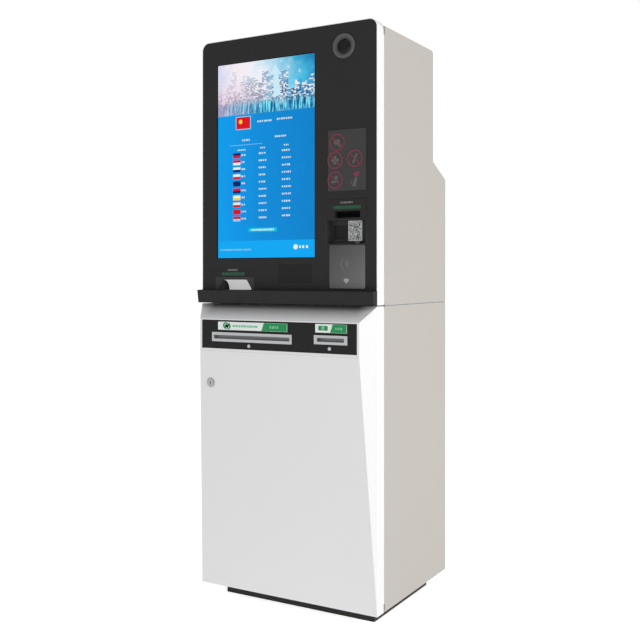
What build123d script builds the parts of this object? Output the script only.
from build123d import *
import math
import os

# Free-standing currency exchange kiosk: a stepped sheet-steel cabinet on a plinth, with two hinged front doors.
# Millimetres, +Z up. The customer stands on the -Y side, and +X is to the customer's right.
# The origin is on the floor, in the middle of the plinth's four anchor holes.

# ---------------------------------------------------------------- driving sizes
# Fascia layout, across
screen_width = 346.0
screen_side_margin = 54.0
column_gap = 37.0
column_width = 130.0
column_side_margin = 33.0

# Fascia layout, up the upper door
screen_sill = 135.0
screen_height = 589.0
screen_head = 72.0

# Lower door, from its foot up
leaf_height = 718.0
band_height = 94.0
chin_slope_height = 45.0

# Cabinet
plinth_height = 44.0
lower_depth = 488.0
upper_depth = 389.0
cabinet_drop = 14.0
rear_step_height = 390.0
rear_step_rise = 48.0
door_depth = 46.5
sheet = 2.0
rear_top_radius = 10.0
rebate_width = 24.0

# Plinth and floor fixing
plinth_side_inset = 44.0
plinth_front_inset = 70.0
plinth_rear_inset = 50.0
plinth_plate = 3.0
anchor_pitch_x = 400.0
anchor_pitch_y = 260.0
anchor_hole_r = 7.0
cable_hole_x = 65.0
cable_hole_width = 90.0
cable_hole_depth = 160.0

# Chin and bezels
chin_projection = 50.0
chin_inset = 30.0
band_side_margin = 7.0
band_foot_margin = 6.0
band_head_margin = 3.0
band_flange = 1.8
corner_radius = 25.0
rim = 2.0
fascia_thickness = 3.0
ledge_height = 40.0
ledge_top_projection = 26.0
ledge_foot_projection = 20.0
ledge_top_rise = 1.0
ledge_edge_radius = 2.0

# Clearances
seam_gap = 3.0
door_rear_gap = 1.2
knuckle_clearance = 0.3
fit_gap = 0.3
slide_gap = 0.5
running_fit = 0.05

# How far a cutting shape runs past the face it starts from
overrun = 1.0

# Continuous hinges
knuckle_r = 3.0
hinge_pin_r = 1.45
knuckle_count = 9
knuckle_spacing = 0.5
leaf_thickness = 1.5
leaf_width = 26.0

# ---------------------------------------------------------------- derived sizes
width = screen_side_margin + screen_width + column_gap + column_width + column_side_margin
left = -width / 2
right = width / 2
plinth_depth = lower_depth - plinth_front_inset - plinth_rear_inset
front = -(plinth_front_inset + plinth_depth / 2)
door_back = front + door_depth - door_rear_gap
cabinet_front = front + door_depth + knuckle_clearance
lower_rear = front + lower_depth
upper_rear = front + upper_depth

body_foot = plinth_height
band_foot = body_foot + leaf_height
band_top = band_foot + band_height
seam = band_top + chin_slope_height
lower_door_top = seam - seam_gap / 2
upper_door_foot = seam + seam_gap / 2
screen_foot = seam + screen_sill
screen_top = screen_foot + screen_height
door_top = screen_top + screen_head
cabinet_top = door_top - cabinet_drop

screen_left = left + screen_side_margin
screen_right = screen_left + screen_width
screen_x = (screen_left + screen_right) / 2
column_right = right - column_side_margin
column_left = column_right - column_width

hinge_x = right - knuckle_r
hinge_y = front + door_depth - knuckle_r
wall_inside = right - sheet


# ---------------------------------------------------------------- helpers
def block(x0, x1, y0, y1, z0, z1, mode=Mode.ADD):
    """A box between two corners of the kiosk's frame."""
    with Locations(((x0 + x1) / 2, (y0 + y1) / 2, (z0 + z1) / 2)):
        Box(x1 - x0, y1 - y0, z1 - z0, mode=mode)


def rod_y(x, y0, y1, z, radius, mode=Mode.ADD):
    """A cylinder lying front to back."""
    with Locations(Location((x, (y0 + y1) / 2, z), (90, 0, 0))):
        Cylinder(radius, y1 - y0, mode=mode)


def rod_x(x0, x1, y, z, radius, mode=Mode.ADD):
    """A cylinder lying across the kiosk."""
    with Locations(Location(((x0 + x1) / 2, y, z), (0, 90, 0))):
        Cylinder(radius, x1 - x0, mode=mode)


def face_plane(y):
    """An upright plane at y, facing the customer: its local axes are +X and +Z."""
    return Plane(origin=(0, y, 0), x_dir=(1, 0, 0), z_dir=(0, -1, 0))


def panel(x0, x1, z0, z1, y_front, thickness, radius=0.0, mode=Mode.ADD):
    """An upright plate with rounded corners, its front at y_front."""
    with BuildSketch(face_plane(y_front)) as outline:
        with Locations(((x0 + x1) / 2, (z0 + z1) / 2)):
            if radius > 0:
                RectangleRounded(x1 - x0, z1 - z0, radius)
            else:
                Rectangle(x1 - x0, z1 - z0)
    extrude(outline.sketch, amount=-thickness, mode=mode)


def slots(x, y0, y1, z, slot_width, slot_height, pitch, count):
    """A stack of level slots cut front to back, centred on (x, z)."""
    for i in range(count):
        level = z + (i - (count - 1) / 2) * pitch
        block(x - slot_width / 2, x + slot_width / 2, y0, y1, level - slot_height / 2, level + slot_height / 2,
              mode=Mode.SUBTRACT)


# ---------------------------------------------------------------- plinth
with BuildPart() as plinth:
    plinth_half = width / 2 - plinth_side_inset
    block(-plinth_half, plinth_half, -plinth_depth / 2, plinth_depth / 2, 0, plinth_height)
    block(-plinth_half + plinth_plate, plinth_half - plinth_plate,
          -plinth_depth / 2 + plinth_plate, plinth_depth / 2 - plinth_plate,
          plinth_plate, plinth_height + overrun, mode=Mode.SUBTRACT)
    with GridLocations(anchor_pitch_x, anchor_pitch_y, 2, 2):
        Cylinder(anchor_hole_r, 4 * plinth_plate, mode=Mode.SUBTRACT)
    block(cable_hole_x - cable_hole_width / 2, cable_hole_x + cable_hole_width / 2, -cable_hole_depth / 2,
          cable_hole_depth / 2, -plinth_plate, 2 * plinth_plate, mode=Mode.SUBTRACT)

# ---------------------------------------------------------------- lower cabinet shell
rear_opening_margin = 40.0
lower_cabinet_top = seam - sheet / 2

with BuildPart() as lower_cabinet:
    block(left, right, cabinet_front, lower_rear, body_foot, lower_cabinet_top)
    block(left + sheet, wall_inside, cabinet_front + sheet, lower_rear - sheet,
          body_foot + sheet, lower_cabinet_top + sheet, mode=Mode.SUBTRACT)
    # The front is open inside a rebate on the latch side and along the foot.
    block(left + rebate_width, wall_inside, cabinet_front - sheet, cabinet_front + 2 * sheet,
          body_foot + rebate_width, lower_cabinet_top + sheet, mode=Mode.SUBTRACT)
    # The back is open behind the rear panel.
    block(left + rear_opening_margin, right - rear_opening_margin, lower_rear - 2 * sheet, lower_rear + sheet,
          body_foot + rear_opening_margin, lower_cabinet_top - rear_opening_margin, mode=Mode.SUBTRACT)
    block(cable_hole_x - cable_hole_width / 2, cable_hole_x + cable_hole_width / 2, -cable_hole_depth / 2,
          cable_hole_depth / 2, body_foot - sheet, body_foot + 2 * sheet, mode=Mode.SUBTRACT)

# ---------------------------------------------------------------- divider between the shells
divider_inset = 1.5
divider_opening_margin = 60.0
divider_opening_depth = 90.0
with BuildPart() as divider_plate:
    block(left + divider_inset, right - divider_inset, cabinet_front + divider_inset, lower_rear - divider_inset,
          seam - sheet / 2, seam + sheet / 2)
    block(left + divider_opening_margin, right - divider_opening_margin,
          lower_rear - divider_opening_margin - divider_opening_depth, lower_rear - divider_opening_margin,
          seam - sheet, seam + sheet, mode=Mode.SUBTRACT)

# ---------------------------------------------------------------- upper cabinet shell
upper_cabinet_foot = seam + sheet / 2
step_foot = seam + rear_step_height
step_top = step_foot + rear_step_rise

with BuildPart() as upper_cabinet:
    with BuildSketch(Plane.YZ.offset(left)):
        with BuildLine():
            Polyline((cabinet_front, upper_cabinet_foot), (lower_rear, upper_cabinet_foot), (lower_rear, step_foot),
                     (upper_rear, step_top), (upper_rear, cabinet_top), (cabinet_front, cabinet_top), close=True)
        side_face = make_face()
        fillet(side_face.vertices().sort_by_distance((upper_rear, cabinet_top, 0))[0], rear_top_radius)
    extrude(amount=width)
    with BuildSketch(Plane.YZ.offset(left + sheet)):
        with BuildLine():
            Polyline((cabinet_front + sheet, upper_cabinet_foot + sheet),
                     (lower_rear - sheet, upper_cabinet_foot + sheet),
                     (lower_rear - sheet, step_foot - sheet), (upper_rear - sheet, step_top - sheet),
                     (upper_rear - sheet, cabinet_top - sheet), (cabinet_front + sheet, cabinet_top - sheet),
                     close=True)
        inner_face = make_face()
        fillet(inner_face.vertices().sort_by_distance((upper_rear, cabinet_top, 0))[0], rear_top_radius - sheet)
    extrude(amount=width - 2 * sheet, mode=Mode.SUBTRACT)
    # Front opening, inside a rebate along the head.
    block(left + sheet, wall_inside, cabinet_front - sheet, cabinet_front + 2 * sheet,
          upper_cabinet_foot + sheet, cabinet_top - rebate_width, mode=Mode.SUBTRACT)
    # Floor opening over the divider's cable opening.
    block(left + rebate_width, right - rebate_width, cabinet_front + rebate_width, lower_rear - rebate_width,
          upper_cabinet_foot - sheet, upper_cabinet_foot + 2 * sheet, mode=Mode.SUBTRACT)
    # Rear opening behind the upper rear panel.
    block(left + rear_opening_margin, right - rear_opening_margin, upper_rear - 2 * sheet, upper_rear + sheet,
          step_top + rear_opening_margin / 2, cabinet_top - rear_opening_margin, mode=Mode.SUBTRACT)

# Strip along the inside of the left wall, which the upper door's bolt catches behind.
with BuildPart() as latch_rail:
    block(left + sheet, left + rebate_width, cabinet_front, cabinet_front + sheet,
          upper_cabinet_foot + sheet, cabinet_top - rebate_width)

# ---------------------------------------------------------------- rear panels
panel_lap = 12.0
panel_sheet = 1.5
fan_size = 120.0
fan_depth = 25.0
fan_x = 100.0
fan_head_margin = 32.0
fan_z = cabinet_top - rear_opening_margin - fan_head_margin - fan_size / 2
fan_duct_r = 57.0
fan_guard_pitch = 12.0
fan_guard_slot = 7.0
upper_panel_y = upper_rear - sheet - panel_sheet
lower_panel_y = lower_rear - sheet - panel_sheet
inlet_side_margin = 120.0
inlet_rise = 100.0
inlet_x = right - inlet_side_margin
inlet_z = body_foot + inlet_rise
inlet_width = 50.0
inlet_height = 60.0
vent_width = 160.0
vent_height = 5.0
vent_pitch = 14.0
vent_count = 9
lower_vent_z = body_foot + 300.0

with BuildPart() as upper_rear_panel:
    block(left + rear_opening_margin - panel_lap, right - rear_opening_margin + panel_lap,
          upper_panel_y, upper_panel_y + panel_sheet,
          step_top + rear_opening_margin / 2 - panel_lap, cabinet_top - rear_opening_margin + panel_lap)
    guard_count = int(2 * fan_duct_r / fan_guard_pitch)
    for i in range(guard_count):
        offset_z = (i - (guard_count - 1) / 2) * fan_guard_pitch
        half_chord = math.sqrt(fan_duct_r ** 2 - offset_z ** 2) - fan_guard_slot
        block(fan_x - half_chord, fan_x + half_chord, upper_panel_y - sheet, upper_panel_y + 2 * sheet,
              fan_z + offset_z - fan_guard_slot / 2, fan_z + offset_z + fan_guard_slot / 2, mode=Mode.SUBTRACT)
    slots(-fan_x, upper_panel_y - sheet, upper_panel_y + 2 * sheet, fan_z, vent_width, vent_height,
          vent_pitch, vent_count)

with BuildPart() as lower_rear_panel:
    block(left + rear_opening_margin - panel_lap, right - rear_opening_margin + panel_lap,
          lower_panel_y, lower_panel_y + panel_sheet,
          body_foot + rear_opening_margin - panel_lap, lower_cabinet_top - rear_opening_margin + panel_lap)
    slots(-fan_x, lower_panel_y - sheet, lower_panel_y + 2 * sheet, lower_vent_z, vent_width,
          vent_height, vent_pitch, vent_count)
    slots(fan_x, lower_panel_y - sheet, lower_panel_y + 2 * sheet, lower_vent_z, vent_width,
          vent_height, vent_pitch, vent_count)
    block(inlet_x - inlet_width / 2, inlet_x + inlet_width / 2, lower_panel_y - sheet, lower_panel_y + 2 * sheet,
          inlet_z - inlet_height / 2, inlet_z + inlet_height / 2, mode=Mode.SUBTRACT)

screw_head_r = 5.0
screw_head_height = 2.0
screw_shank_r = 2.0
screw_length = 8.0
screw_inset = panel_lap / 2


def rear_screws(y_face, z0, z1):
    """Six pan-head screws that go in from the back, down the two long edges of an opening."""
    x_edge = width / 2 - rear_opening_margin + screw_inset
    for x in (-x_edge, x_edge):
        for z in (z0 + rear_opening_margin, (z0 + z1) / 2, z1 - rear_opening_margin):
            rod_y(x, y_face, y_face + screw_head_height, z, screw_head_r)
            rod_y(x, y_face - screw_length, y_face, z, screw_shank_r)


with BuildPart() as rear_panel_screws:
    rear_screws(upper_rear, step_top + rear_opening_margin / 2, cabinet_top - rear_opening_margin)
    rear_screws(lower_rear, body_foot + rear_opening_margin, lower_cabinet_top - rear_opening_margin)

# The screws pass through the shells and the panels.
with BuildPart() as upper_cabinet_drilled:
    add(upper_cabinet.part)
    add(rear_panel_screws.part, mode=Mode.SUBTRACT)
with BuildPart() as lower_cabinet_drilled:
    add(lower_cabinet.part)
    add(rear_panel_screws.part, mode=Mode.SUBTRACT)
with BuildPart() as rear_panels:
    add(upper_rear_panel.part)
    add(lower_rear_panel.part)
    add(rear_panel_screws.part, mode=Mode.SUBTRACT)

# ---------------------------------------------------------------- cooling fan
fan_hub_r = 20.0
fan_mount_depth = 4.0
fan_arm_count = 3
fan_tip_gap = 1.5
fan_spindle_r = 2.5
blade_count = 7
blade_thickness = 2.0
blade_pitch_angle = 35.0
fan_back = upper_panel_y
fan_front = fan_back - fan_depth
blade_chord = 14.0
blade_root = 4.0

with BuildPart() as fan_frame:
    block(fan_x - fan_size / 2, fan_x + fan_size / 2, fan_front, fan_back, fan_z - fan_size / 2,
          fan_z + fan_size / 2)
    rod_y(fan_x, fan_front - overrun, fan_back + overrun, fan_z, fan_duct_r, mode=Mode.SUBTRACT)
    # Motor mount: a disc on three arms at the front of the duct.
    rod_y(fan_x, fan_front, fan_front + fan_mount_depth, fan_z, fan_hub_r)
    for i in range(fan_arm_count):
        arm_angle = 360 * i / fan_arm_count + 90
        with Locations(Location((fan_x, fan_front + fan_mount_depth / 2, fan_z), (0, arm_angle, 0))):
            with Locations((fan_duct_r / 2, 0, 0)):
                Box(fan_duct_r + fan_tip_gap, fan_mount_depth, fan_mount_depth)
    rod_y(fan_x, fan_front - overrun, fan_back, fan_z, fan_spindle_r + running_fit, mode=Mode.SUBTRACT)

with BuildPart() as fan_rotor:
    hub_front = fan_front + fan_mount_depth + slide_gap
    hub_back = fan_back - 2 * slide_gap
    rod_y(fan_x, hub_front, hub_back, fan_z, fan_hub_r)
    for i in range(blade_count):
        with Locations(Location((fan_x, (hub_front + hub_back) / 2, fan_z), (0, 360 * i / blade_count, 0))):
            with Locations(Location(((fan_hub_r + fan_duct_r) / 2, 0, 0), (blade_pitch_angle, 0, 0))):
                Box(fan_duct_r - fan_hub_r + 2 * blade_root, blade_thickness, 2 * blade_chord)
    # The blades end inside the duct.
    rod_y(fan_x, hub_front, hub_back, fan_z, fan_duct_r - fan_tip_gap, mode=Mode.INTERSECT)
    rod_y(fan_x, fan_front, hub_front, fan_z, fan_spindle_r)

# ---------------------------------------------------------------- equipment shelf and what stands on it
shelf_z = seam + 160.0
shelf_front = front + 235.0
shelf_upstand = 25.0
with BuildPart() as equipment_shelf:
    block(left + sheet, wall_inside, shelf_front, lower_rear - sheet, shelf_z, shelf_z + sheet)
    block(left + sheet, wall_inside, shelf_front, shelf_front + sheet, shelf_z, shelf_z + shelf_upstand)
    block(left + sheet, wall_inside, lower_rear - 2 * sheet, lower_rear - sheet, shelf_z, shelf_z + shelf_upstand)

pc_width = 250.0
pc_depth = 180.0
pc_height = 70.0
pc_x = left + 170.0
pc_front = shelf_front + 20.0
fin_pitch = 10.0
fin_gap = 5.0
fin_depth = 12.0
with BuildPart() as control_pc:
    block(pc_x - pc_width / 2, pc_x + pc_width / 2, pc_front, pc_front + pc_depth, shelf_z + sheet,
          shelf_z + sheet + pc_height)
    for i in range(int(pc_width / fin_pitch) - 1):
        x = pc_x - pc_width / 2 + (i + 1) * fin_pitch
        block(x - fin_gap / 2, x + fin_gap / 2, pc_front - overrun, pc_front + pc_depth + overrun,
              shelf_z + sheet + pc_height - fin_depth, shelf_z + sheet + pc_height + overrun, mode=Mode.SUBTRACT)

supply_width = 110.0
supply_depth = 200.0
supply_height = 50.0
supply_x = right - 130.0
supply_slot_margin = 15.0
supply_slot_height = 3.0
supply_slot_pitch = 8.0
supply_slot_count = 4
with BuildPart() as power_supply:
    block(supply_x - supply_width / 2, supply_x + supply_width / 2, pc_front, pc_front + supply_depth,
          shelf_z + sheet, shelf_z + sheet + supply_height)
    slots(supply_x, pc_front - overrun, pc_front + fin_depth, shelf_z + supply_height / 2,
          supply_width - 2 * supply_slot_margin, supply_slot_height, supply_slot_pitch, supply_slot_count)

# ---------------------------------------------------------------- mains inlet with its rocker switch
inlet_flange = 5.0
inlet_body_depth = 28.0
socket_width = 26.0
socket_height = 18.0
socket_depth = 18.0
socket_z = inlet_z - 12.0
pin_r = 1.5
pin_length = 12.0
pin_spread = 7.0
earth_pin_drop = 4.0
rocker_z = inlet_z + 16.0
rocker_width = 21.0
rocker_height = 14.0
rocker_depth = 10.0
rocker_pin_r = 1.5
rocker_well_clearance = 4.0
rocker_rest_tilt = -9.0
inlet_face = lower_rear - sheet + inlet_flange / 2

with BuildPart() as power_inlet:
    gap = fit_gap / 2
    block(inlet_x - inlet_width / 2 + gap, inlet_x + inlet_width / 2 - gap,
          lower_panel_y - inlet_body_depth, lower_panel_y + panel_sheet,
          inlet_z - inlet_height / 2 + gap, inlet_z + inlet_height / 2 - gap)
    block(inlet_x - inlet_width / 2 - inlet_flange, inlet_x + inlet_width / 2 + inlet_flange,
          lower_panel_y + panel_sheet, inlet_face,
          inlet_z - inlet_height / 2 - inlet_flange, inlet_z + inlet_height / 2 + inlet_flange)
    # Recess that takes a mains connector, with its three pins.
    block(inlet_x - socket_width / 2, inlet_x + socket_width / 2, inlet_face - socket_depth, inlet_face + overrun,
          socket_z - socket_height / 2, socket_z + socket_height / 2, mode=Mode.SUBTRACT)
    for dx, dz in ((-pin_spread, 0), (pin_spread, 0), (0, earth_pin_drop)):
        rod_y(inlet_x + dx, inlet_face - socket_depth - overrun, inlet_face - socket_depth + pin_length,
              socket_z - dz, pin_r)
    # Well for the rocker.
    block(inlet_x - rocker_width / 2 - slide_gap, inlet_x + rocker_width / 2 + slide_gap,
          inlet_face - rocker_depth - rocker_well_clearance, inlet_face + overrun,
          rocker_z - rocker_height / 2 - slide_gap, rocker_z + rocker_height / 2 + slide_gap, mode=Mode.SUBTRACT)
    rod_x(inlet_x - rocker_width / 2 - 2 * overrun, inlet_x + rocker_width / 2 + 2 * overrun,
          inlet_face - rocker_depth / 2, rocker_z, rocker_pin_r)

with BuildPart() as power_switch:
    with BuildSketch(Plane.YZ.offset(inlet_x - rocker_width / 2)):
        with Locations(Location((inlet_face - rocker_depth / 2, rocker_z, 0), rocker_rest_tilt)):
            Rectangle(rocker_depth, rocker_height - 4 * slide_gap)
    extrude(amount=rocker_width)
    rod_x(inlet_x - rocker_width, inlet_x + rocker_width, inlet_face - rocker_depth / 2, rocker_z,
          rocker_pin_r + running_fit, mode=Mode.SUBTRACT)

# ---------------------------------------------------------------- continuous hinges


def knuckles(z0, z1, first):
    """Every second knuckle of a hinge between two heights, each with a tab that reaches its leaf."""
    pitch = (z1 - z0) / knuckle_count
    for i in range(first, knuckle_count, 2):
        z = z0 + (i + 0.5) * pitch
        half = (pitch - knuckle_spacing) / 2
        with Locations((hinge_x, hinge_y, z)):
            Cylinder(knuckle_r, 2 * half)
        yield z - half, z + half


def hinge_leaf(z0, z1, first, direction):
    """One half of a hinge: a leaf on the inside of a side wall, behind (+1) or before (-1) the pin."""
    tab_start = hinge_pin_r + running_fit
    leaf_start = knuckle_r + knuckle_clearance
    near = hinge_y + direction * leaf_start
    far = hinge_y + direction * (leaf_start + leaf_width)
    block(wall_inside - leaf_thickness, wall_inside, min(near, far), max(near, far), z0, z1)
    for low, high in knuckles(z0, z1, first):
        start = hinge_y + direction * tab_start
        block(wall_inside - leaf_thickness, wall_inside, min(start, near), max(start, near), low, high)
    with Locations((hinge_x, hinge_y, (z0 + z1) / 2)):
        Cylinder(hinge_pin_r + running_fit, z1 - z0 + 2 * overrun, mode=Mode.SUBTRACT)


upper_hinge_foot = upper_door_foot + sheet
upper_hinge_top = cabinet_top - rebate_width
lower_hinge_foot = body_foot + rebate_width
lower_hinge_top = lower_door_top - sheet

with BuildPart() as hinge_cabinet_leaves:
    hinge_leaf(upper_hinge_foot, upper_hinge_top, 0, 1)
    hinge_leaf(lower_hinge_foot, lower_hinge_top, 0, 1)
with BuildPart() as upper_hinge_door_leaf:
    hinge_leaf(upper_hinge_foot, upper_hinge_top, 1, -1)
with BuildPart() as lower_hinge_door_leaf:
    hinge_leaf(lower_hinge_foot, lower_hinge_top, 1, -1)
with BuildPart() as hinge_pins:
    for low, high in ((upper_hinge_foot, upper_hinge_top), (lower_hinge_foot, lower_hinge_top)):
        with Locations((hinge_x, hinge_y, (low + high) / 2)):
            Cylinder(hinge_pin_r, high - low)


def hinge_notch(z0, z1):
    """Cuts a door's rear corner back from the hinge."""
    block(right - 2 * knuckle_r - overrun, right + overrun, hinge_y - knuckle_r - knuckle_clearance, cabinet_front,
          z0, z1, mode=Mode.SUBTRACT)


# ---------------------------------------------------------------- lower door skin
groove_height = 2.0
groove_depth = 1.0
brace_height = 40.0
brace_depth = 22.0
brace_levels = (leaf_height / 4, leaf_height * 2 / 3)
band_left = left + chin_inset + band_side_margin
band_right = right - chin_inset - band_side_margin
band_panel_foot = band_foot + band_foot_margin
band_panel_top = band_top - band_head_margin
chin_front = front - chin_projection


def door_form(inset, mode):
    """The lower door's outer form, or with an inset the hollow inside it: a shallow box with a faceted chin."""
    y_base = front + inset
    y_nose = chin_front + inset
    low = body_foot + inset
    high = lower_door_top - inset
    with BuildSketch(face_plane(y_base)) as base:
        with Locations((0, (low + high) / 2)):
            Rectangle(width - 2 * inset, high - low)
    with BuildSketch(face_plane(y_nose)) as nose:
        with Locations((0, (band_foot + band_top - inset) / 2)):
            Rectangle(width - 2 * (chin_inset + inset), band_height - inset)
    loft([base.sketch, nose.sketch], ruled=True, mode=mode)
    block(left + inset, right - inset, y_base, door_back + inset, low, high, mode=mode)


lean = math.atan2(chin_projection, leaf_height)
lock_x = left + 65.0
lock_z = band_foot - 98.0
lock_tube_r = 10.0
lock_flange_r = 13.5
lock_flange_height = 3.0
lock_plug_r = 7.0
lock_tube_length = 24.0
lock_flange_chamfer = 1.0
lock_nut_depth = 6.0
lock_plane = Plane(origin=(lock_x, front - (lock_z - body_foot) * math.tan(lean), lock_z), x_dir=(1, 0, 0),
                   z_dir=(0, -math.cos(lean), -math.sin(lean)))

with BuildPart() as lower_door_skin:
    door_form(0, Mode.ADD)
    door_form(sheet, Mode.SUBTRACT)
    panel(band_left, band_right, band_panel_foot, band_panel_top, chin_front - overrun, 2 * sheet, mode=Mode.SUBTRACT)
    # Shadow line between the band and the leaning leaf.
    block(left + chin_inset + groove_depth, right - chin_inset - groove_depth, chin_front - overrun,
          chin_front + groove_depth,
          band_foot - groove_height, band_foot, mode=Mode.SUBTRACT)
    # Two folded braces welded across the inside.
    for level in brace_levels:
        z = body_foot + level
        block(left + sheet, wall_inside - leaf_thickness, front + sheet, front + sheet + brace_depth,
              z - brace_height / 2, z + brace_height / 2)
        block(left + sheet, wall_inside - leaf_thickness, front, front + brace_depth,
              z - brace_height / 2 + sheet, z + brace_height / 2 - sheet, mode=Mode.SUBTRACT)
    hinge_notch(body_foot - overrun, seam)
    with BuildSketch(lock_plane):
        Circle(lock_tube_r)
    extrude(amount=2 * sheet, both=True, mode=Mode.SUBTRACT)

# ---------------------------------------------------------------- band panel
band_thickness = 3.0
band_recess = 0.3
band_y = chin_front + band_recess
outlet_x = left + 215.0
outlet_z = band_foot + 41.0
outlet_frame_width = 280.0
outlet_frame_height = 28.0
outlet_mouth_width = 265.0
outlet_mouth_height = 11.0
intake_x = right - 119.0
intake_z = band_foot + 44.0
intake_frame_width = 107.0
intake_frame_height = 26.0
intake_mouth_width = 86.0
intake_mouth_height = 11.0
indicator_r = 5.0
indicator_height = 3.0
outlet_indicator = (outlet_x - 8.0, band_foot + 17.0)
intake_indicator = (intake_x - 4.0, band_foot + 20.0)

with BuildPart() as band_panel:
    panel(band_left + fit_gap, band_right - fit_gap, band_panel_foot + fit_gap, band_panel_top - fit_gap, band_y,
          chin_front + sheet - band_y)
    panel(band_left - band_flange, band_right + band_flange, band_panel_foot - band_flange,
          band_panel_top + band_flange / 2, chin_front + sheet, band_thickness)
    for x, z, w, h in ((outlet_x, outlet_z, outlet_frame_width, outlet_frame_height),
                       (intake_x, intake_z, intake_frame_width, intake_frame_height)):
        panel(x - w / 2, x + w / 2, z - h / 2, z + h / 2, band_y - overrun, 4 * band_thickness, mode=Mode.SUBTRACT)
    for x, z in (outlet_indicator, intake_indicator):
        rod_y(x, band_y - overrun, band_y + 4 * band_thickness, z, indicator_r, mode=Mode.SUBTRACT)

with BuildPart() as slot_indicators:
    for x, z in (outlet_indicator, intake_indicator):
        with BuildSketch(face_plane(band_y + band_thickness)):
            with Locations((x, z)):
                Circle(indicator_r)
        extrude(amount=band_thickness + indicator_height)
    fillet(slot_indicators.faces().sort_by(Axis.Y)[:2].edges(), indicator_height * 0.8)

# ---------------------------------------------------------------- slot bezels and shutters
bezel_proud = 2.0
bezel_lip = 5.0
bezel_depth = 24.0
shutter_thickness = 2.0
shutter_setback = 5.0
shutter_lap = 5.0
shutter_overlap = 3.0
shutter_travel = 14.5
band_back = chin_front + sheet + band_thickness


def slot_bezel(x, z, frame_width, frame_height, mouth_width, mouth_height):
    """A framed mouth, with a pocket behind it that guides a rising shutter."""
    half_w = frame_width / 2 - fit_gap
    half_h = frame_height / 2 - fit_gap
    pocket_half = mouth_width / 2 + shutter_lap + slide_gap
    pocket_foot = z - mouth_height / 2 - shutter_overlap - slide_gap
    housing_top = z + mouth_height / 2 + shutter_overlap + shutter_travel
    block(x - half_w, x + half_w, band_y - bezel_proud, band_back, z - half_h, z + half_h)
    block(x - half_w - bezel_lip, x + half_w + bezel_lip, band_back, band_back + bezel_depth,
          z - half_h - bezel_lip, housing_top)
    block(x - mouth_width / 2, x + mouth_width / 2, band_y - bezel_proud - overrun, band_back + bezel_depth + overrun,
          z - mouth_height / 2, z + mouth_height / 2, mode=Mode.SUBTRACT)
    pocket_front = band_back + shutter_setback - slide_gap
    pocket_back = band_back + shutter_setback + shutter_thickness + slide_gap
    block(x - pocket_half, x + pocket_half, pocket_front, pocket_back, pocket_foot, housing_top + overrun,
          mode=Mode.SUBTRACT)


def slot_shutter(x, z, mouth_width, mouth_height):
    """A flat gate that closes the mouth and slides up into the bezel's pocket."""
    half_w = mouth_width / 2 + shutter_lap
    half_h = mouth_height / 2 + shutter_overlap
    y0 = band_back + shutter_setback
    block(x - half_w, x + half_w, y0, y0 + shutter_thickness, z - half_h, z + half_h)


with BuildPart() as outlet_bezel:
    slot_bezel(outlet_x, outlet_z, outlet_frame_width, outlet_frame_height, outlet_mouth_width, outlet_mouth_height)
with BuildPart() as intake_bezel:
    slot_bezel(intake_x, intake_z, intake_frame_width, intake_frame_height, intake_mouth_width, intake_mouth_height)
with BuildPart() as outlet_shutter:
    slot_shutter(outlet_x, outlet_z, outlet_mouth_width, outlet_mouth_height)
with BuildPart() as intake_shutter:
    slot_shutter(intake_x, intake_z, intake_mouth_width, intake_mouth_height)

# ---------------------------------------------------------------- band labels
label_thickness = 1.2
label_radius = 1.5
label_height = 24.0
outlet_label_left = outlet_x - 118.0
outlet_label_width = 242.0
outlet_label_foot = band_foot + 62.0
intake_label_left = intake_x - 49.0
intake_label_width = 100.0
intake_label_foot = band_foot + 64.0
with BuildPart() as band_labels:
    panel(outlet_label_left, outlet_label_left + outlet_label_width, outlet_label_foot,
          outlet_label_foot + label_height, band_y - label_thickness, label_thickness, label_radius)
    panel(intake_label_left, intake_label_left + intake_label_width, intake_label_foot,
          intake_label_foot + label_height, band_y - label_thickness, label_thickness, label_radius)

# ---------------------------------------------------------------- door lock
tail_half = 4.0
cam_width = 16.0
cam_thickness = 2.5
cam_reach = 50.0
cam_gap = 4.0
keyway_width = 2.5
keyway_height = 8.0
keyway_depth = 6.0
tail_length = (cabinet_front + sheet + cam_gap - lock_plane.origin.Y) / math.cos(lean)

with BuildPart() as lock_housing:
    with BuildSketch(lock_plane):
        Circle(lock_flange_r)
    extrude(amount=lock_flange_height)
    chamfer(lock_housing.edges().filter_by(GeomType.CIRCLE).group_by(Axis.Y)[0], lock_flange_chamfer)
    with BuildSketch(lock_plane):
        Circle(lock_tube_r)
    extrude(amount=-lock_tube_length)
    # Nut that clamps the skin from behind.
    with BuildSketch(lock_plane.offset(-sheet - running_fit)):
        RegularPolygon(lock_flange_r, 6)
    extrude(amount=-lock_nut_depth)
    with BuildSketch(lock_plane.offset(lock_flange_height + overrun)):
        Circle(lock_plug_r + running_fit)
    extrude(amount=-(lock_tube_length + lock_flange_height + 2 * overrun), mode=Mode.SUBTRACT)

with BuildPart() as lock_cylinder:
    with BuildSketch(lock_plane.offset(lock_flange_height)):
        Circle(lock_plug_r)
    extrude(amount=-(lock_tube_length + lock_flange_height + 2 * overrun))
    with BuildSketch(lock_plane.offset(-lock_tube_length)):
        Rectangle(2 * tail_half, 2 * tail_half)
    extrude(amount=-(tail_length - lock_tube_length))
    with BuildSketch(lock_plane.offset(-tail_length)):
        with Locations((0, (cam_reach - cam_width / 2) / 2)):
            Rectangle(cam_width, cam_reach + cam_width / 2)
    extrude(amount=-cam_thickness)
    with BuildSketch(lock_plane.offset(lock_flange_height)):
        Rectangle(keyway_width, keyway_height)
    extrude(amount=-keyway_depth, mode=Mode.SUBTRACT)

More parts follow.
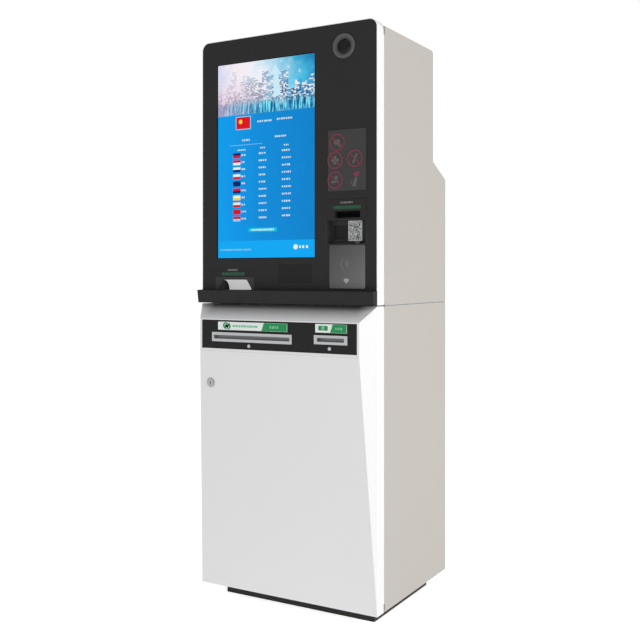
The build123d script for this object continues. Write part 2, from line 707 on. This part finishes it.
# ---------------------------------------------------------------- upper door frame
with BuildPart() as upper_door_frame:
    for inset, mode in ((0, Mode.ADD), (sheet, Mode.SUBTRACT)):
        with BuildSketch(face_plane(front)) as outline:
            with Locations((0, (upper_door_foot + door_top) / 2)):
                Rectangle(width - 2 * inset, door_top - upper_door_foot - 2 * inset)
            fillet(outline.vertices().group_by(Axis.Y)[-1], corner_radius - inset)
        extrude(amount=-(door_back - front), mode=mode)
    hinge_notch(seam, cabinet_top)

# ---------------------------------------------------------------- fascia and its openings
camera_x = right - 104.5
camera_z = door_top - 67.0
camera_r = 35.0
camera_hole_r = 29.0
lens_r = 19.0
reader_foot = seam + 244.0
reader_height = 54.0
card_mouth_width = 81.0
card_mouth_height = 19.0
card_mouth_z = seam + 255.5
tray_foot = seam + 171.0
tray_height = 72.0
pad_left = column_left + 12.0
pad_right = column_right - 4.0
pad_foot = seam + 47.0
pad_top = seam + 170.0
pad_radius = 5.0
receipt_x = left + 121.0
receipt_foot = seam + 33.0
receipt_top = seam + 79.0
receipt_half = 71.0
speaker_left = left + 277.0
speaker_right = left + 390.0
speaker_foot = seam + 63.0
speaker_top = seam + 116.0
light_height = 9.5
light_proud = 0.5
light_depth = 4.0
card_light_left = right - 138.0
card_light_right = right - 50.0
card_light_foot = seam + 271.0
receipt_light_left = left + 74.0
receipt_light_right = left + 157.0
receipt_light_foot = seam + 84.0
fascia_back = front + fascia_thickness


def fascia_hole(x0, x1, z0, z1, radius=0.0):
    """Cuts a hole through the fascia."""
    panel(x0, x1, z0, z1, front - overrun, fascia_thickness + 2 * overrun, radius, mode=Mode.SUBTRACT)


with BuildPart() as fascia:
    inset = rim + fit_gap
    with BuildSketch(face_plane(front)) as outline:
        with Locations((0, (upper_door_foot + door_top) / 2)):
            Rectangle(width - 2 * inset, door_top - upper_door_foot - 2 * inset)
        fillet(outline.vertices().group_by(Axis.Y)[-1], corner_radius - inset)
    extrude(amount=-fascia_thickness)
    fascia_hole(screen_left, screen_right, screen_foot, screen_top)
    rod_y(camera_x, front - overrun, fascia_back + overrun, camera_z, camera_hole_r, mode=Mode.SUBTRACT)
    fascia_hole(column_left, column_right, reader_foot, reader_foot + reader_height, rim)
    fascia_hole(column_left, column_right, tray_foot, tray_foot + tray_height)
    fascia_hole(pad_left, pad_right, pad_foot, pad_top, pad_radius)
    fascia_hole(receipt_x - receipt_half, receipt_x + receipt_half, receipt_foot, receipt_top)
    fascia_hole(speaker_left, speaker_right, speaker_foot, speaker_top)
    fascia_hole(receipt_light_left, receipt_light_right, receipt_light_foot, receipt_light_foot + light_height)

with BuildPart() as fascia_ledge:
    with BuildSketch(Plane.YZ.offset(left)):
        with BuildLine():
            Polyline((front, upper_door_foot), (front - ledge_foot_projection, upper_door_foot),
                     (front - ledge_top_projection, seam + ledge_height),
                     (front, seam + ledge_height + ledge_top_rise), close=True)
        make_face()
    extrude(amount=width)
    fillet(fascia_ledge.edges().filter_by(Axis.X).group_by(Axis.Y)[0], ledge_edge_radius)

pictogram_left = column_left + 8.0
pictogram_right = column_right - 1.0
pictogram_foot = seam + 322.0
pictogram_top = seam + 494.0
with BuildPart() as pictogram_panel:
    panel(pictogram_left, pictogram_right, pictogram_foot, pictogram_top, front - label_thickness, label_thickness,
          label_radius)

# ---------------------------------------------------------------- screen
glass_lap = 10.0
glass_thickness = 3.0
display_depth = 16.0
display_rear_step = 40.0
display_rear_depth = 20.0
display_front = fascia_back + glass_thickness + fit_gap
display_back = display_front + display_depth + display_rear_depth
with BuildPart() as touch_glass:
    panel(screen_left - glass_lap, screen_right + glass_lap, screen_foot - glass_lap, screen_top + glass_lap,
          fascia_back, glass_thickness)

with BuildPart() as display_panel:
    panel(screen_left - glass_lap, screen_right + glass_lap, screen_foot - glass_lap, screen_top + glass_lap,
          display_front, display_depth)
    # Electronics tray on the back of the panel.
    panel(screen_left + display_rear_step, screen_right - display_rear_step, screen_foot + display_rear_step,
          screen_top - display_rear_step, display_front + display_depth, display_rear_depth)
    slots(screen_x, display_back - display_rear_depth / 2, display_back + overrun, (screen_foot + screen_top) / 2,
          screen_width / 2, vent_height, vent_pitch, 2 * vent_count)

# ---------------------------------------------------------------- camera
camera_proud = 3.0
camera_chamfer = 1.2
camera_mouth_lip = 2.0
camera_lens_depth = 1.0
camera_lens_dome = 5.0
camera_tube_depth = 26.0
camera_tube_floor = 4.0
camera_lens_back = front + camera_tube_depth - camera_tube_floor
with BuildPart() as camera_bezel:
    with BuildSketch(face_plane(front)):
        with Locations((camera_x, camera_z)):
            Circle(camera_r)
    extrude(amount=camera_proud)
    chamfer(camera_bezel.faces().sort_by(Axis.Y)[0].edges(), camera_chamfer)
    rod_y(camera_x, front, front + camera_tube_depth, camera_z, camera_hole_r - fit_gap)
    # Dished mouth down to the lens, then the lens bore.
    with BuildSketch(face_plane(front - camera_proud)):
        with Locations((camera_x, camera_z)):
            Circle(camera_hole_r - camera_mouth_lip)
    with BuildSketch(face_plane(front + camera_lens_depth)):
        with Locations((camera_x, camera_z)):
            Circle(lens_r + running_fit)
    loft(mode=Mode.SUBTRACT)
    rod_y(camera_x, front, camera_lens_back, camera_z, lens_r + running_fit, mode=Mode.SUBTRACT)

with BuildPart() as camera_lens:
    rod_y(camera_x, front + camera_lens_depth, camera_lens_back, camera_z, lens_r)
    fillet(camera_lens.edges().filter_by(GeomType.CIRCLE).sort_by(Axis.Y)[0], camera_lens_dome)

# ---------------------------------------------------------------- card reader
reader_plate_proud = 1.5
card_mouth_depth = 15.0
card_slit_height = 3.0
card_width = 56.0
reader_body_depth = 150.0
card_mouth_x = right - 92.5
card_mouth_wall = 3.0
reader_body_rise = 20.0

with BuildPart() as card_reader_bezel:
    panel(column_left + fit_gap, column_right - fit_gap, reader_foot + fit_gap, reader_foot + reader_height - fit_gap,
          front - reader_plate_proud, reader_plate_proud + fascia_thickness, rim)
    block(card_mouth_x - card_mouth_width / 2 - card_mouth_wall, card_mouth_x + card_mouth_width / 2 + card_mouth_wall,
          fascia_back, front + card_mouth_depth, card_mouth_z - card_mouth_height / 2 - sheet,
          card_mouth_z + card_mouth_height / 2 + sheet)
    block(card_mouth_x - card_mouth_width / 2, card_mouth_x + card_mouth_width / 2, front - card_mouth_depth,
          front + card_mouth_depth + overrun, card_mouth_z - card_mouth_height / 2,
          card_mouth_z + card_mouth_height / 2, mode=Mode.SUBTRACT)
    panel(card_light_left, card_light_right, card_light_foot, card_light_foot + light_height,
          front - card_mouth_depth, 2 * card_mouth_depth, mode=Mode.SUBTRACT)

with BuildPart() as card_reader:
    block(card_mouth_x - card_mouth_width / 2 - card_mouth_wall, card_mouth_x + card_mouth_width / 2 + card_mouth_wall,
          front + card_mouth_depth, front + card_mouth_depth + reader_body_depth,
          card_mouth_z - card_mouth_height / 2, card_mouth_z + card_mouth_height / 2 + reader_body_rise)
    block(card_mouth_x - card_width / 2, card_mouth_x + card_width / 2, front, front + reader_body_depth,
          card_mouth_z - card_slit_height / 2, card_mouth_z + card_slit_height / 2, mode=Mode.SUBTRACT)

with BuildPart() as guide_lights:
    for x0, x1, z0, y0 in ((card_light_left, card_light_right, card_light_foot, front - reader_plate_proud),
                           (receipt_light_left, receipt_light_right, receipt_light_foot, front)):
        panel(x0 + fit_gap / 2, x1 - fit_gap / 2, z0 + fit_gap / 2, z0 + light_height - fit_gap / 2,
              y0 - light_proud, light_depth)

# ---------------------------------------------------------------- scanner recess
tray_depth = 30.0
tray_proud = 0.5
scan_window_width = 60.0
scan_window_height = 40.0
scan_window_left = column_left + 10.0
scan_window_foot = tray_foot + (tray_height - scan_window_height) / 2
with BuildPart() as scanner_tray:
    block(column_left + fit_gap, column_right - fit_gap, front - tray_proud, front + tray_depth,
          tray_foot + fit_gap, tray_foot + tray_height - fit_gap)
    block(column_left + fit_gap + sheet, column_right - fit_gap - sheet, front - overrun, front + tray_depth - sheet,
          tray_foot + fit_gap + sheet, tray_foot + tray_height - fit_gap - sheet, mode=Mode.SUBTRACT)
    block(scan_window_left, scan_window_left + scan_window_width, front + tray_depth - 2 * sheet,
          front + tray_depth + overrun, scan_window_foot, scan_window_foot + scan_window_height, mode=Mode.SUBTRACT)

with BuildPart() as scanner_window:
    block(scan_window_left, scan_window_left + scan_window_width, front + tray_depth - sheet, front + tray_depth,
          scan_window_foot, scan_window_foot + scan_window_height)

# ---------------------------------------------------------------- contactless pad
pad_proud = 1.5
pad_edge_radius = 1.0
pad_box_margin = 8.0
pad_box_depth = 18.0
with BuildPart() as contactless_pad:
    panel(pad_left + fit_gap, pad_right - fit_gap, pad_foot + fit_gap, pad_top - fit_gap, front - pad_proud,
          pad_proud + fascia_thickness, pad_radius)
    fillet(contactless_pad.faces().sort_by(Axis.Y)[0].edges(), pad_edge_radius)
    block(pad_left + pad_box_margin, pad_right - pad_box_margin, fascia_back, fascia_back + pad_box_depth,
          pad_foot + pad_box_margin, pad_top - pad_box_margin)

# ---------------------------------------------------------------- speaker cover
speaker_box_depth = 30.0
speaker_side_margin = 15.0
speaker_edge_margin = 4.0
with BuildPart() as speaker_cover:
    panel(speaker_left + fit_gap, speaker_right - fit_gap, speaker_foot + fit_gap, speaker_top - fit_gap, front,
          fascia_thickness)
    block(speaker_left + speaker_side_margin, speaker_right - speaker_side_margin, fascia_back,
          fascia_back + speaker_box_depth, speaker_foot + speaker_edge_margin, speaker_top - speaker_edge_margin)

# ---------------------------------------------------------------- receipt mouth, printer, roll and platen
receipt_depth = 42.0
mouth_foot = seam + 41.0
mouth_top = seam + 73.0
mouth_top_half = 42.5
mouth_foot_half = 64.5
mouth_back_half = 44.0
paper_width = 80.0
paper_thickness = 0.4
paper_slot_y = front + 30.0
paper_slot_half = 2.5
paper_side_gap = 2.0
receipt_back_wall = 3.0

with BuildPart() as receipt_bezel:
    block(receipt_x - receipt_half + fit_gap, receipt_x + receipt_half - fit_gap, front, front + receipt_depth,
          receipt_foot + fit_gap, receipt_top - fit_gap)
    with BuildSketch(face_plane(front - overrun)):
        with BuildLine():
            Polyline((receipt_x - mouth_foot_half, mouth_foot), (receipt_x + mouth_foot_half, mouth_foot),
                     (receipt_x + mouth_top_half, mouth_top), (receipt_x - mouth_top_half, mouth_top),
                     close=True)
        make_face()
    with BuildSketch(face_plane(front + receipt_depth - receipt_back_wall)):
        with Locations((receipt_x, (mouth_foot + mouth_top) / 2)):
            Rectangle(2 * mouth_back_half, mouth_top - mouth_foot)
    loft(ruled=True, mode=Mode.SUBTRACT)
    # Paper comes up through the floor of the mouth.
    block(receipt_x - paper_width / 2 - paper_side_gap, receipt_x + paper_width / 2 + paper_side_gap,
          paper_slot_y - paper_slot_half, paper_slot_y + paper_slot_half, receipt_foot - overrun,
          mouth_foot + overrun, mode=Mode.SUBTRACT)

# The paper rises through the floor of the mouth and curls over towards the customer.
paper_points = [(30.0, 0.0), (29.0, 14.0), (22.0, 28.0), (2.0, 38.0)]
with BuildPart() as receipt_paper:
    with BuildSketch(Plane.YZ.offset(receipt_x - paper_width / 2)):
        with BuildLine():
            near_side = Spline([(front + y, receipt_foot + z) for y, z in paper_points])
            far_side = Spline([(front + y + paper_thickness, receipt_foot + z + paper_thickness)
                               for y, z in paper_points])
            Line(near_side @ 0, far_side @ 0)
            Line(near_side @ 1, far_side @ 1)
        make_face()
    extrude(amount=paper_width)

printer_half = 61.0
printer_cheek = 2.0
printer_front = front + receipt_depth + overrun
roll_gap = 4.0
shaft_overhang = 4.0
printer_back = front + 146.0
printer_foot = seam + 6.0
printer_top = seam + 76.0
roll_r = 30.0
roll_bore_r = 6.5
roll_y = printer_back - roll_r - roll_gap
roll_z = printer_foot + roll_r + roll_gap
platen_r = 6.0
platen_shaft_r = 2.5
platen_y = printer_front + 12
platen_z = printer_foot + 14

with BuildPart() as printer_frame:
    block(receipt_x - printer_half, receipt_x + printer_half, printer_front, printer_back, printer_foot, printer_top)
    block(receipt_x - printer_half + printer_cheek, receipt_x + printer_half - printer_cheek,
          printer_front - overrun, printer_back + overrun, printer_foot + printer_cheek, printer_top + overrun,
          mode=Mode.SUBTRACT)
    # Spindle that carries the roll.
    rod_x(receipt_x - printer_half, receipt_x + printer_half, roll_y, roll_z, roll_bore_r - running_fit)
    # Bearing holes of the platen.
    rod_x(receipt_x - printer_half - overrun, receipt_x + printer_half + overrun, platen_y, platen_z,
          platen_shaft_r + running_fit, mode=Mode.SUBTRACT)

with BuildPart() as paper_roll:
    rod_x(receipt_x - paper_width / 2, receipt_x + paper_width / 2, roll_y, roll_z, roll_r)
    rod_x(receipt_x - paper_width, receipt_x + paper_width, roll_y, roll_z, roll_bore_r, mode=Mode.SUBTRACT)

with BuildPart() as platen_roller:
    rod_x(receipt_x - paper_width / 2 - paper_side_gap, receipt_x + paper_width / 2 + paper_side_gap, platen_y,
          platen_z, platen_r)
    rod_x(receipt_x - printer_half - shaft_overhang, receipt_x + printer_half + shaft_overhang, platen_y, platen_z,
          platen_shaft_r)

# ---------------------------------------------------------------- upper door latch
latch_z = seam + 103.0
latch_height = 14.0
latch_width = 20.0
latch_travel = 14.0
latch_rest_gap = 4.0
bolt_gap = 3.0
bolt_front = cabinet_front + sheet + bolt_gap
bolt_thickness = 5.0
bolt_tip = left + rebate_width + latch_rest_gap
bolt_nose = 1.0
latch_left = bolt_tip + bolt_nose
latch_wall = 4.0
bolt_knob_r = 6.0
bolt_knob_inset = 8.0
bolt_knob_depth = 22.0
bolt_knob_gap = 11.0
bolt_length = bolt_nose + latch_width + bolt_knob_gap + latch_travel + bolt_knob_r + bolt_knob_inset
with BuildPart() as latch_housing:
    block(latch_left, latch_left + latch_width, fascia_back, bolt_front + bolt_thickness + latch_wall,
          latch_z - latch_height, latch_z + latch_height)
    block(latch_left - overrun, latch_left + latch_width + overrun, bolt_front - slide_gap,
          bolt_front + bolt_thickness + slide_gap, latch_z - latch_height / 2 - slide_gap,
          latch_z + latch_height / 2 + slide_gap, mode=Mode.SUBTRACT)

with BuildPart() as latch_bolt:
    block(bolt_tip, bolt_tip + bolt_length, bolt_front, bolt_front + bolt_thickness,
          latch_z - latch_height / 2, latch_z + latch_height / 2)
    rod_y(bolt_tip + bolt_length - bolt_knob_inset, bolt_front, bolt_front + bolt_knob_depth, latch_z, bolt_knob_r)

# ---------------------------------------------------------------- note dispenser and its cassettes
cassette_width = 230.0
cassette_depth = 330.0
cassette_height = 105.0
cassette_wall = 3.0
cassette_count = 3
cassette_gap = 6.0
chassis_sheet = 3.0
chassis_rear_margin = 20.0
cassette_bay_rise = 40.0
runner_width = 15.0
chassis_left = left + 70.0
chassis_foot = body_foot + sheet
cassette_x0 = chassis_left + chassis_sheet + slide_gap
cassette_x1 = cassette_x0 + cassette_width
chassis_right = cassette_x1 + slide_gap + chassis_sheet
chassis_front = front + 90.0
chassis_back = chassis_front + cassette_depth + chassis_rear_margin
cassette_pitch = cassette_height + cassette_gap
bay_foot = chassis_foot + cassette_bay_rise
chassis_top = bay_foot + cassette_count * cassette_pitch + chassis_sheet

with BuildPart() as dispenser_chassis:
    block(chassis_left, chassis_right, chassis_front, chassis_back, chassis_foot, chassis_top)
    block(cassette_x0 - slide_gap, cassette_x1 + slide_gap, chassis_front - overrun, chassis_back - chassis_sheet,
          bay_foot, chassis_top - chassis_sheet, mode=Mode.SUBTRACT)
    block(cassette_x0 - slide_gap, cassette_x1 + slide_gap, chassis_front - overrun, chassis_back - chassis_sheet,
          chassis_foot + chassis_sheet, bay_foot - chassis_sheet, mode=Mode.SUBTRACT)
    # Runners between the cassettes.
    for i in range(1, cassette_count):
        z = bay_foot + i * cassette_pitch - cassette_gap / 2
        for x0, x1 in ((cassette_x0 - slide_gap, cassette_x0 + runner_width),
                       (cassette_x1 - runner_width, cassette_x1 + slide_gap)):
            block(x0, x1, chassis_front, chassis_back - chassis_sheet, z - cassette_gap / 2 + slide_gap,
                  z + cassette_gap / 2 - slide_gap)

handle_width = 90.0
handle_reach = 22.0
handle_bar = 8.0
note_slot_margin = 25.0
note_slot_height = 20.0


def cassette(level):
    """A note cassette: a box with a pull handle on its front and a note slot in its back."""
    z0 = bay_foot + level * cassette_pitch + slide_gap
    z1 = z0 + cassette_height - slide_gap
    middle = (z0 + z1) / 2
    x = (cassette_x0 + cassette_x1) / 2
    block(cassette_x0, cassette_x1, chassis_front, chassis_front + cassette_depth, z0, z1)
    block(cassette_x0 + cassette_wall, cassette_x1 - cassette_wall, chassis_front + cassette_wall,
          chassis_front + cassette_depth - cassette_wall, z0 + cassette_wall, z1 - cassette_wall, mode=Mode.SUBTRACT)
    block(cassette_x0 + note_slot_margin, cassette_x1 - note_slot_margin,
          chassis_front + cassette_depth - 2 * cassette_wall, chassis_front + cassette_depth + overrun, middle,
          middle + note_slot_height, mode=Mode.SUBTRACT)
    block(x - handle_width / 2, x + handle_width / 2, chassis_front - handle_reach, chassis_front,
          middle - handle_bar, middle + handle_bar)
    block(x - handle_width / 2 + handle_bar, x + handle_width / 2 - handle_bar,
          chassis_front - handle_reach + handle_bar, chassis_front, middle - handle_bar - overrun,
          middle + handle_bar + overrun, mode=Mode.SUBTRACT)


cassettes = {}
for level in range(cassette_count):
    with BuildPart() as one_cassette:
        cassette(level)
    cassettes[f"note_cassette_{level + 1}"] = one_cassette

# ---------------------------------------------------------------- presenter that lifts notes to the outlet
duct_wall = 2.0
duct_side_margin = 45.0
duct_half_width = outlet_mouth_width / 2 - duct_side_margin
duct_half_height = 9.0
duct_gap = 3.0
strut_width = 26.0
strut_depth = 12.0
presenter_x = (chassis_left + chassis_right) / 2
presenter_back = chassis_back
roller_r = 12.0
roller_nip = 0.6
roller_shaft_r = 4.0
roller_width = 22.0
roller_spacing = 55.0
roller_count = 3
roller_setback = 30.0
roller_head_room = 20.0
roller_y = chassis_front + roller_setback
lower_roller_z = outlet_z - roller_r - roller_nip / 2
upper_roller_z = outlet_z + roller_r + roller_nip / 2
presenter_half = cassette_width / 2 + slide_gap + chassis_sheet
presenter_top = upper_roller_z + roller_head_room
duct_front = band_back + bezel_depth + duct_gap
duct_x0 = outlet_x - duct_half_width
duct_x1 = outlet_x + duct_half_width

with BuildPart() as presenter_frame:
    block(presenter_x - presenter_half, presenter_x + presenter_half, chassis_front, presenter_back, chassis_top,
          presenter_top)
    block(presenter_x - presenter_half + chassis_sheet, presenter_x + presenter_half - chassis_sheet,
          chassis_front - overrun, presenter_back - chassis_sheet, chassis_top + chassis_sheet,
          presenter_top + overrun, mode=Mode.SUBTRACT)
    for z in (lower_roller_z, upper_roller_z):
        rod_x(presenter_x - 2 * presenter_half, presenter_x + 2 * presenter_half, roller_y, z,
              roller_shaft_r + running_fit, mode=Mode.SUBTRACT)
    # Duct that leads notes to the outlet.
    block(duct_x0 - duct_wall, duct_x1 + duct_wall, duct_front, chassis_front, outlet_z - duct_half_height - duct_wall,
          outlet_z + duct_half_height + duct_wall)
    block(duct_x0, duct_x1, duct_front - overrun, chassis_front + overrun, outlet_z - duct_half_height,
          outlet_z + duct_half_height, mode=Mode.SUBTRACT)
    # Struts that carry the duct on the presenter's side plates.
    for x0, x1 in ((duct_x0 - strut_width, duct_x0), (duct_x1, duct_x1 + strut_width)):
        block(x0, x1, chassis_front - strut_depth, chassis_front + strut_depth, outlet_z - duct_half_height - duct_wall,
              outlet_z + duct_half_height + duct_wall)


def transport_roller(z):
    """A shaft across the presenter with rubber rollers on it."""
    reach = presenter_half + shaft_overhang
    rod_x(presenter_x - reach, presenter_x + reach, roller_y, z, roller_shaft_r)
    for i in range(roller_count):
        x = presenter_x + (i - (roller_count - 1) / 2) * roller_spacing
        rod_x(x - roller_width / 2, x + roller_width / 2, roller_y, z, roller_r)


with BuildPart() as feed_roller:
    transport_roller(lower_roller_z)
with BuildPart() as pinch_roller:
    transport_roller(upper_roller_z)

# ---------------------------------------------------------------- note acceptor and its cash box
acceptor_half = 55.0
acceptor_front = front + 60.0
acceptor_back = front + 300.0
acceptor_foot = intake_z - 60.0
acceptor_top = intake_z + 36.0
intake_duct_depth = 80.0
intake_duct_half = intake_mouth_width / 2
bracket_sheet = 3.0
bracket_setback = 40.0
box_wall = 3.0
box_front = acceptor_front + 10.0
box_handle_half = 30.0
cash_box_foot = body_foot + 420.0
box_handle_foot = cash_box_foot + 120.0
cash_box_top = acceptor_foot - bracket_sheet - slide_gap

with BuildPart() as note_acceptor:
    block(intake_x - acceptor_half, intake_x + acceptor_half, acceptor_front, acceptor_back, acceptor_foot,
          acceptor_top)
    block(intake_x - intake_duct_half - duct_wall, intake_x + intake_duct_half + duct_wall, duct_front,
          acceptor_front, intake_z - duct_half_height - duct_wall, intake_z + duct_half_height + duct_wall)
    block(intake_x - intake_duct_half, intake_x + intake_duct_half, duct_front - overrun,
          acceptor_front + intake_duct_depth,
          intake_z - duct_half_height, intake_z + duct_half_height, mode=Mode.SUBTRACT)

with BuildPart() as acceptor_cash_box:
    block(intake_x - acceptor_half, intake_x + acceptor_half, box_front, acceptor_back, cash_box_foot, cash_box_top)
    block(intake_x - acceptor_half + box_wall, intake_x + acceptor_half - box_wall, box_front + box_wall,
          acceptor_back - box_wall, cash_box_foot + box_wall, cash_box_top + overrun, mode=Mode.SUBTRACT)
    block(intake_x - box_handle_half, intake_x + box_handle_half, box_front - handle_reach, box_front,
          box_handle_foot, box_handle_foot + 2 * handle_bar)
    block(intake_x - box_handle_half + handle_bar, intake_x + box_handle_half - handle_bar,
          box_front - handle_reach + handle_bar, box_front, box_handle_foot - overrun,
          box_handle_foot + 2 * handle_bar + overrun, mode=Mode.SUBTRACT)

post_x0 = intake_x - acceptor_half - slide_gap - bracket_sheet
bracket_front = acceptor_front + bracket_setback
bracket_back = acceptor_back + bracket_setback / 2
with BuildPart() as acceptor_stand:
    # Shelf under the acceptor and shelf under its cash box, both on the right wall and on a post.
    for top in (acceptor_foot, cash_box_foot):
        block(post_x0, wall_inside, bracket_front, bracket_back, top - bracket_sheet, top)
    block(post_x0, post_x0 + bracket_sheet, bracket_front, bracket_back, body_foot + sheet, acceptor_foot)

# ---------------------------------------------------------------- write the pieces
pieces = {
    "plinth": plinth,
    "lower_cabinet": lower_cabinet_drilled,
    "divider_plate": divider_plate,
    "upper_cabinet": upper_cabinet_drilled,
    "latch_rail": latch_rail,
    "rear_panels": rear_panels,
    "rear_panel_screws": rear_panel_screws,
    "fan_frame": fan_frame,
    "fan_rotor": fan_rotor,
    "equipment_shelf": equipment_shelf,
    "control_pc": control_pc,
    "power_supply": power_supply,
    "power_inlet": power_inlet,
    "power_switch": power_switch,
    "hinge_cabinet_leaves": hinge_cabinet_leaves,
    "upper_hinge_door_leaf": upper_hinge_door_leaf,
    "lower_hinge_door_leaf": lower_hinge_door_leaf,
    "hinge_pins": hinge_pins,
    "lower_door_skin": lower_door_skin,
    "band_panel": band_panel,
    "slot_indicators": slot_indicators,
    "outlet_bezel": outlet_bezel,
    "intake_bezel": intake_bezel,
    "outlet_shutter": outlet_shutter,
    "intake_shutter": intake_shutter,
    "band_labels": band_labels,
    "lock_housing": lock_housing,
    "lock_cylinder": lock_cylinder,
    "upper_door_frame": upper_door_frame,
    "fascia": fascia,
    "fascia_ledge": fascia_ledge,
    "pictogram_panel": pictogram_panel,
    "touch_glass": touch_glass,
    "display_panel": display_panel,
    "camera_bezel": camera_bezel,
    "camera_lens": camera_lens,
    "card_reader_bezel": card_reader_bezel,
    "card_reader": card_reader,
    "guide_lights": guide_lights,
    "scanner_tray": scanner_tray,
    "scanner_window": scanner_window,
    "contactless_pad": contactless_pad,
    "speaker_cover": speaker_cover,
    "receipt_bezel": receipt_bezel,
    "receipt_paper": receipt_paper,
    "printer_frame": printer_frame,
    "paper_roll": paper_roll,
    "platen_roller": platen_roller,
    "latch_housing": latch_housing,
    "latch_bolt": latch_bolt,
    "dispenser_chassis": dispenser_chassis,
    "presenter_frame": presenter_frame,
    "feed_roller": feed_roller,
    "pinch_roller": pinch_roller,
    "note_acceptor": note_acceptor,
    "acceptor_cash_box": acceptor_cash_box,
    "acceptor_stand": acceptor_stand,
}
pieces.update(cassettes)

os.makedirs("parts", exist_ok=True)
for label, piece in pieces.items():
    piece.part.label = label
    export_step(piece.part, f"parts/{label}.step")
